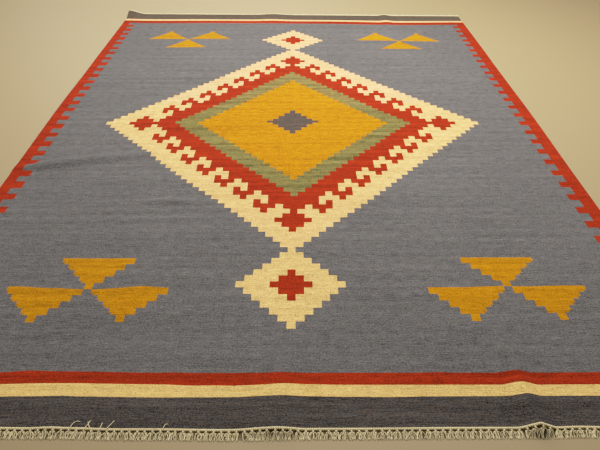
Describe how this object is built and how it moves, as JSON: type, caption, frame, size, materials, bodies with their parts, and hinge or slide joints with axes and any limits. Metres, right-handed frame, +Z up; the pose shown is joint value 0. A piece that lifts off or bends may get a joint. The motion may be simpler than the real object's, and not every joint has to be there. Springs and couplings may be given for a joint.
{
  "type": "kilim rug",
  "caption": "Flatwoven wool kilim lying flat, stepped diamond medallion on a blue-grey field, toothed side borders, banded ends, knotted fringe at both ends.",
  "frame": {"origin": "on the rug's underside, below the middle of its medallion", "axes": "+X across the rug, +Y along it to the far end, +Z up from the floor"},
  "size_m": [2.0302, 3.0165, 0.0256],
  "materials": {
    "wool_cloth": "matt flatwoven wool, heathered blue-grey field with red, cream, golden yellow, sage green and charcoal wool",
    "fringe_yarn": "matt undyed cream warp yarn, twined, knotted and cut"
  },
  "bodies": {
    "root": {"rug_cloth": "wool_cloth", "near_fringe": "fringe_yarn", "far_fringe": "fringe_yarn"}
  },
  "joints": []
}
